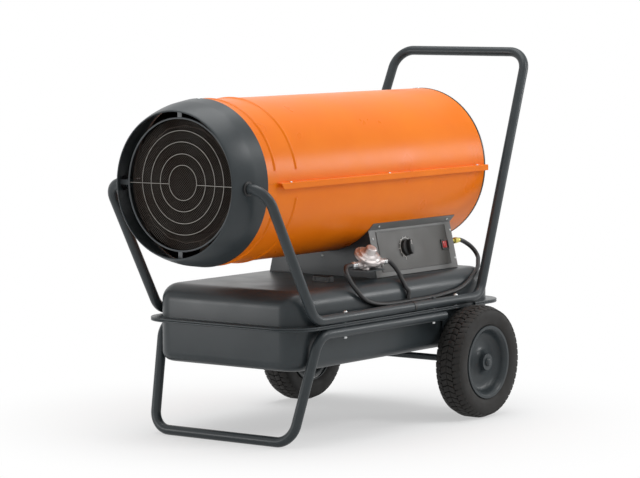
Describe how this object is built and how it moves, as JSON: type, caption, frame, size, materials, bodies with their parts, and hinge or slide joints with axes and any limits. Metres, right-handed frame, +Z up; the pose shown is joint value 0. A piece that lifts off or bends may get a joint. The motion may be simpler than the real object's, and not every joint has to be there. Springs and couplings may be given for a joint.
{
  "type": "forced air heater",
  "caption": "Direct-fired forced air heater: horizontal steel barrel with outlet cone and guard over a fuel tank, on a bent tube frame with wheels and push handle.",
  "frame": {"origin": "middle of the heater's footprint, on the floor", "axes": "+X towards the control panel side, +Y towards the push handle, +Z up; the outlet faces -Y"},
  "size_m": [0.72, 1.392, 1.0595],
  "materials": {
    "orange_paint": "semi-gloss powder coat",
    "grey_paint": "semi-gloss powder coat",
    "panel_paint": "satin",
    "black_plastic": "satin",
    "red_plastic": "gloss",
    "rubber": "matt",
    "tyre": "matt",
    "zinc": "bright zinc plate",
    "regulator_zinc": "cast, satin",
    "cast_alloy": "cast, satin",
    "brass": "turned",
    "heat_steel": "heat-darkened",
    "window": "clear over dark"
  },
  "bodies": {
    "heater": {"axle": "grey_paint", "axle_bracket_left": "grey_paint", "axle_bracket_right": "grey_paint", "axle_cap_left": "grey_paint", "axle_cap_right": "grey_paint", "burner_head": "heat_steel", "chamber_stand_front": "heat_steel", "chamber_stand_rear": "heat_steel", "combustion_chamber": "heat_steel", "control_module": "black_plastic", "control_panel": "panel_paint", "flame_plate": "heat_steel", "flame_sensor": "zinc", "frame_lower": "grey_paint", "frame_upper": "grey_paint", "gas_pipe": "brass", "gas_valve": "cast_alloy", "gauge_window": "window", "hose_clip": "zinc", "hose_inlet": "rubber", "hose_tank": "rubber", "housing": "grey_paint", "igniter": "zinc", "inlet_union": "brass", "label_plate": "panel_paint", "leg_grommet_left": "rubber", "leg_grommet_right": "rubber", "level_gauge": "grey_paint", "motor": "cast_alloy", "motor_bracket": "grey_paint", "outlet_cone": "grey_paint", "outlet_guard": "grey_paint", "rail_bolt_left_1": "zinc", "rail_bolt_left_2": "zinc", "rail_bolt_left_3": "zinc", "rail_bolt_right_1": "zinc", "rail_bolt_right_2": "zinc", "rail_bolt_right_3": "zinc", "rear_grille": "grey_paint", "regulator_body": "regulator_zinc", "regulator_bonnet": "regulator_zinc", "regulator_bracket": "grey_paint", "regulator_nut_front": "zinc", "regulator_nut_rear": "zinc", "shell_lower": "orange_paint", "shell_upper": "orange_paint", "switch_bezel": "black_plastic", "tank_lower": "grey_paint", "tank_union": "zinc", "tank_upper": "grey_paint", "thermostat_body": "black_plastic"},
    "wheel_left": {"wheel_rim_left": "grey_paint", "tyre_left": "tyre"},
    "wheel_right": {"wheel_rim_right": "grey_paint", "tyre_right": "tyre"},
    "fan": {"fan": "cast_alloy"},
    "thermostat": {"thermostat_knob": "black_plastic", "thermostat_spindle": "zinc"},
    "switch": {"rocker": "red_plastic"},
    "tank_cap": {"filler_cap": "black_plastic"}
  },
  "joints": [
    {"name": "wheel_left_spin", "type": "hinge", "parent": "heater", "child": "wheel_left", "pos_m": [-0.316, 0.297, 0.162], "axis": [1, 0, 0], "continuous": true},
    {"name": "wheel_right_spin", "type": "hinge", "parent": "heater", "child": "wheel_right", "pos_m": [0.316, 0.297, 0.162], "axis": [1, 0, 0], "continuous": true},
    {"name": "fan_spin", "type": "hinge", "parent": "heater", "child": "fan", "pos_m": [0, 0.396, 0.715], "axis": [0, 1, 0], "continuous": true},
    {"name": "thermostat_turn", "type": "hinge", "parent": "heater", "child": "thermostat", "pos_m": [0.17401, 0.138, 0.49618], "axis": [0.9743, 0, 0.2252], "range_deg": [-45, 150]},
    {"name": "switch_rock", "type": "hinge", "parent": "heater", "child": "switch", "pos_m": [0.17319, 0.332, 0.49085], "axis": [0.2252, 0, -0.9743], "range_deg": [0, 14]},
    {"name": "tank_cap_turn", "type": "hinge", "parent": "heater", "child": "tank_cap", "pos_m": [-0.14, 0.41, 0.43], "axis": [0, 0, 1], "range_deg": [0, 90]}
  ]
}
